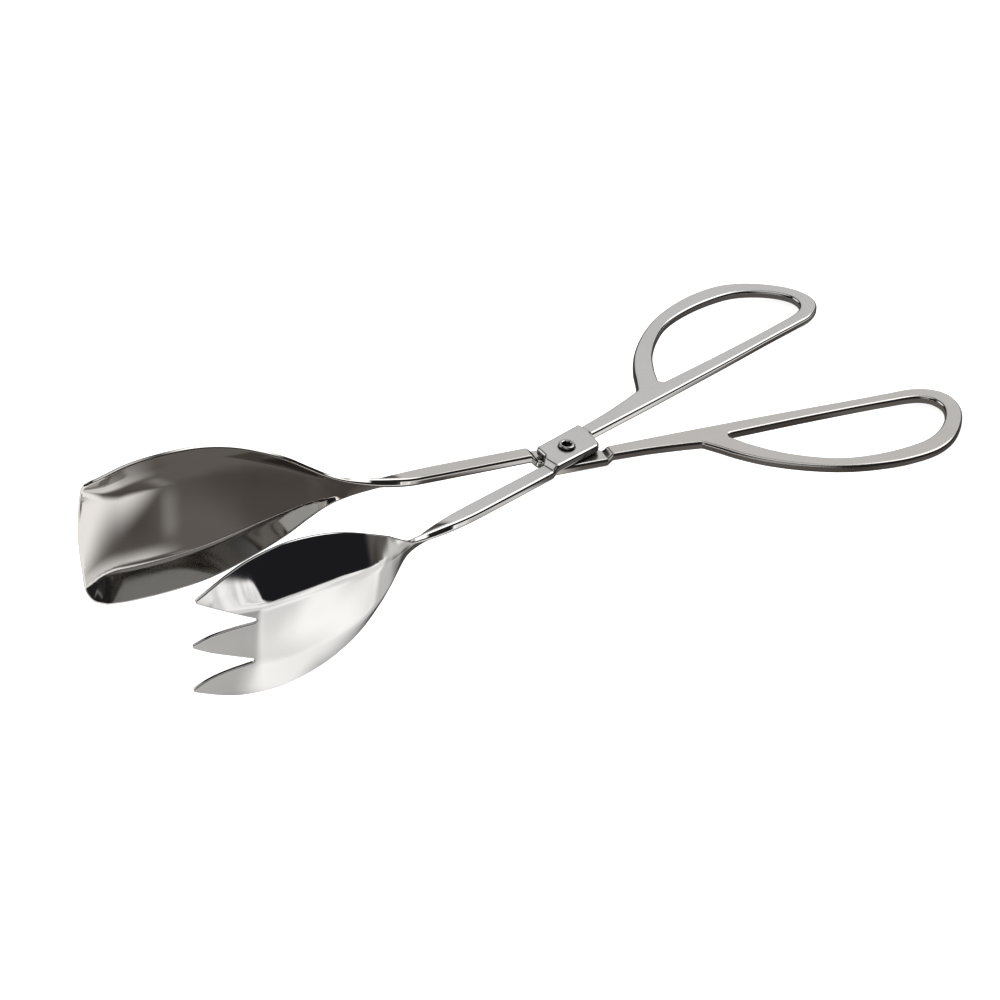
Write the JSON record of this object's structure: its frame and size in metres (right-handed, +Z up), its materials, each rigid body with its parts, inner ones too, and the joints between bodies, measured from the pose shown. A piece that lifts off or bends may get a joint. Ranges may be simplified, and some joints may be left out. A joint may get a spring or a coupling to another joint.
{
  "type": "scissor serving tongs",
  "caption": "Scissor-action stainless serving tongs: a shallow spoon blade faces a fork blade, with D-shaped finger loops, joined by a hollow rivet.",
  "frame": {"origin": "bottom centre of the bounding box, on the table the tongs lie on", "axes": "+X along the tongs from the blades to the finger loops, +Y towards the fork arm's finger loop, +Z up from the table"},
  "size_m": [0.2696, 0.1116, 0.0509],
  "materials": {
    "spoon_steel": "mirror-polished blade, satin handle",
    "fork_steel": "mirror-polished blade, satin handle",
    "rivet_steel": "polished rolled rivet"
  },
  "bodies": {
    "spoon_side": {"spoon_arm": "spoon_steel", "pivot_rivet": "rivet_steel"},
    "fork_side": {"fork_arm": "fork_steel"}
  },
  "joints": [
    {"name": "scissor_pivot", "type": "hinge", "parent": "spoon_side", "child": "fork_side", "pos_m": [0.01039, 0, 0.01439], "axis": [0.0958, 0, 0.9954], "range_deg": [-21, 80]}
  ]
}
